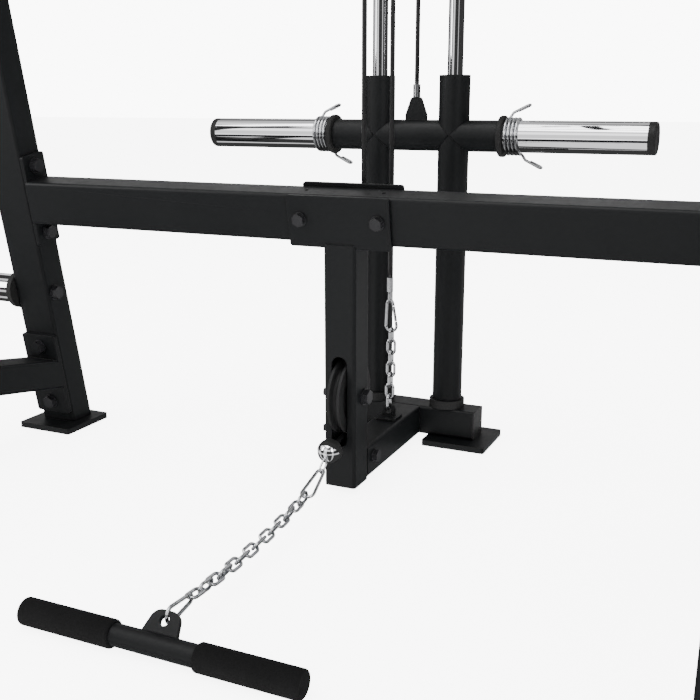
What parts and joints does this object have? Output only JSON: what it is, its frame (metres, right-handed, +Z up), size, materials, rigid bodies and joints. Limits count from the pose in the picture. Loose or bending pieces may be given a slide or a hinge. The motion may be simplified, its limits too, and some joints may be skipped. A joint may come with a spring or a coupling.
{
  "type": "functional trainer",
  "caption": "Plate-loaded functional trainer with a leaning tube frame, a guided weight carriage, a high pulley with a lat bar and a low pulley with a row bar.",
  "frame": {"origin": "floor level, below the middle of the machine's outline", "axes": "+Z up, +X to the user's left as seen from the tower's back, the user's side is -Y and the weight carriage is on the +Y side"},
  "size_m": [1.722, 1.381, 2.0933],
  "materials": {
    "black_powder_coat": "satin black powder coat",
    "polished_chrome": "mirror chrome plate",
    "zinc_steel": "bright zinc plate",
    "black_fasteners": "black oxide",
    "bearing_steel": "ground steel",
    "pulley_nylon": "moulded nylon",
    "black_rubber": "matte rubber",
    "black_plastic": "moulded plastic",
    "foam_grip": "closed cell foam",
    "cable_sheath": "extruded nylon sheath"
  },
  "bodies": {
    "frame": {"anchor_bracket": "black_powder_coat", "anchor_chain": "zinc_steel", "base_beam": "black_powder_coat", "bracket_rear_plate": "black_powder_coat", "bumpers": "black_rubber", "cable_ferrules": "zinc_steel", "centre_post": "black_powder_coat", "end_plugs": "black_plastic", "fixed_cable_wraps": "cable_sheath", "foot_plates": "black_powder_coat", "frame_bolts": "black_fasteners", "front_upright_left": "black_powder_coat", "front_upright_right": "black_powder_coat", "guide_rods": "polished_chrome", "low_side_beams": "black_powder_coat", "lower_crossbeam": "black_powder_coat", "pulley_axles": "black_fasteners", "pulley_bearings": "bearing_steel", "rear_cross_tube": "black_powder_coat", "rear_leg_left": "black_powder_coat", "rear_leg_right": "black_powder_coat", "rod_top_plate": "black_powder_coat", "storage_flanges": "black_rubber", "storage_pegs": "polished_chrome", "top_crossbeams": "black_powder_coat", "top_side_beams": "black_powder_coat", "top_spine": "black_powder_coat"},
    "carriage": {"carriage_sleeves": "black_powder_coat", "carriage_crossbar": "black_powder_coat", "sleeve_bushings": "pulley_nylon", "weight_pegs": "polished_chrome", "plate_stops": "black_rubber", "weight_peg_caps": "black_plastic", "carriage_ferrule": "zinc_steel", "carriage_cable": "cable_sheath"},
    "clip_left": {"spring_clip_left": "zinc_steel"},
    "clip_right": {"spring_clip_right": "zinc_steel"},
    "floating_block": {"floating_bracket": "black_powder_coat", "floating_bearings": "bearing_steel", "floating_cable_wraps": "cable_sheath", "high_cable_runs": "cable_sheath", "low_cable_anchor_run": "cable_sheath", "low_cable_post_run": "cable_sheath"},
    "floating_lower_wheel": {"floating_lower_pulley": "pulley_nylon"},
    "floating_upper_wheel": {"floating_upper_pulley": "pulley_nylon"},
    "low_wheel": {"low_pulley": "pulley_nylon"},
    "rear_top_wheel": {"rear_top_pulley": "pulley_nylon"},
    "middle_top_wheel": {"middle_top_pulley": "pulley_nylon"},
    "front_top_wheel": {"front_top_pulley": "pulley_nylon"},
    "ball_stop": {"cable_ball_stop": "black_rubber", "ball_cup": "polished_chrome", "low_cable_front": "cable_sheath"},
    "chain": {"handle_chain": "zinc_steel"},
    "upper_gate": {"handle_upper_gate": "zinc_steel"},
    "row_handle": {"row_bar": "black_powder_coat", "row_bar_grips": "foam_grip"},
    "lower_gate": {"handle_lower_gate": "zinc_steel"},
    "lat_handle": {"lat_bar": "black_powder_coat", "lat_bar_grips": "foam_grip"},
    "anchor_hook_gate": {"anchor_gate": "zinc_steel"}
  },
  "joints": [
    {"name": "carriage_lift", "type": "slide", "parent": "frame", "child": "carriage", "axis": [0, 0, 1], "range_m": [0, 1.2], "deforming": ["carriage_cable"]},
    {"name": "low_handle_pull", "type": "slide", "parent": "frame", "child": "ball_stop", "axis": [0, -1, 0], "range_m": [0, 1.2], "deforming": ["low_cable_front"]},
    {"name": "floating_block_drop", "type": "slide", "parent": "frame", "child": "floating_block", "axis": [0, 0, -1], "range_m": [0, 0.6], "deforming": ["high_cable_runs", "low_cable_anchor_run", "low_cable_post_run"]},
    {"name": "low_pulley_spin", "type": "hinge", "parent": "frame", "child": "low_wheel", "pos_m": [0, 0.368, 0.145], "axis": [-1, 0, 0], "range_deg": [0, 1290]},
    {"name": "rear_top_pulley_spin", "type": "hinge", "parent": "frame", "child": "rear_top_wheel", "pos_m": [0, 0.582, 2.025], "axis": [1, 0, 0], "range_deg": [0, 1290]},
    {"name": "floating_upper_pulley_spin", "type": "hinge", "parent": "floating_block", "child": "floating_upper_wheel", "pos_m": [0, 0.475, 1.65], "axis": [-1, 0, 0], "range_deg": [0, 650]},
    {"name": "floating_lower_pulley_spin", "type": "hinge", "parent": "floating_block", "child": "floating_lower_wheel", "pos_m": [0, 0.475, 1.5], "axis": [1, 0, 0], "range_deg": [0, 650]},
    {"name": "middle_top_pulley_spin", "type": "hinge", "parent": "frame", "child": "middle_top_wheel", "pos_m": [0, 0.368, 2.025], "axis": [1, 0, 0], "continuous": true},
    {"name": "front_top_pulley_spin", "type": "hinge", "parent": "frame", "child": "front_top_wheel", "pos_m": [0, -0.051, 2.025], "axis": [1, 0, 0], "continuous": true},
    {"name": "chain_swing", "type": "hinge", "parent": "ball_stop", "child": "chain", "pos_m": [0, 0.27459, 0.05952], "axis": [-1, 0, 0], "range_deg": [0, 60]},
    {"name": "row_bar_swing", "type": "hinge", "parent": "chain", "child": "row_handle", "pos_m": [0.01306, -0.08602, 0.0362], "axis": [-1, 0, 0], "range_deg": [0, 40]},
    {"name": "lat_bar_swing", "type": "hinge", "parent": "frame", "child": "lat_handle", "pos_m": [0, -0.1045, 1.88], "axis": [1, 0, 0], "range_deg": [-35, 35]},
    {"name": "clip_left_slide", "type": "slide", "parent": "carriage", "child": "clip_left", "axis": [-1, 0, 0], "range_m": [0, 0.26]},
    {"name": "clip_right_slide", "type": "slide", "parent": "carriage", "child": "clip_right", "axis": [1, 0, 0], "range_m": [0, 0.26]},
    {"name": "upper_hook_gate", "type": "hinge", "parent": "chain", "child": "upper_gate", "pos_m": [0.00573, 0.26416, 0.05389], "axis": [0, 0.362, -0.9322], "range_deg": [0, 18], "stiffness_Nm_per_rad": 0.02},
    {"name": "lower_hook_gate", "type": "hinge", "parent": "row_handle", "child": "lower_gate", "pos_m": [0.01333, -0.09265, 0.04182], "axis": [0.9992, 0.0401, 0.0002], "range_deg": [0, 18], "stiffness_Nm_per_rad": 0.02},
    {"name": "anchor_hook_gate_swing", "type": "hinge", "parent": "frame", "child": "anchor_hook_gate", "pos_m": [0.00606, 0.5285, 0.25105], "axis": [0, 1, 0], "range_deg": [0, 18], "stiffness_Nm_per_rad": 0.02}
  ],
  "couplings": [
    {"joint": "low_handle_pull", "follows": "carriage_lift", "ratio": 1},
    {"joint": "floating_block_drop", "follows": "carriage_lift", "ratio": 0.5},
    {"joint": "low_pulley_spin", "follows": "carriage_lift", "rad_per_m": 18.692},
    {"joint": "rear_top_pulley_spin", "follows": "carriage_lift", "rad_per_m": 18.692},
    {"joint": "floating_upper_pulley_spin", "follows": "carriage_lift", "rad_per_m": 9.3458},
    {"joint": "floating_lower_pulley_spin", "follows": "carriage_lift", "rad_per_m": 9.3458}
  ]
}
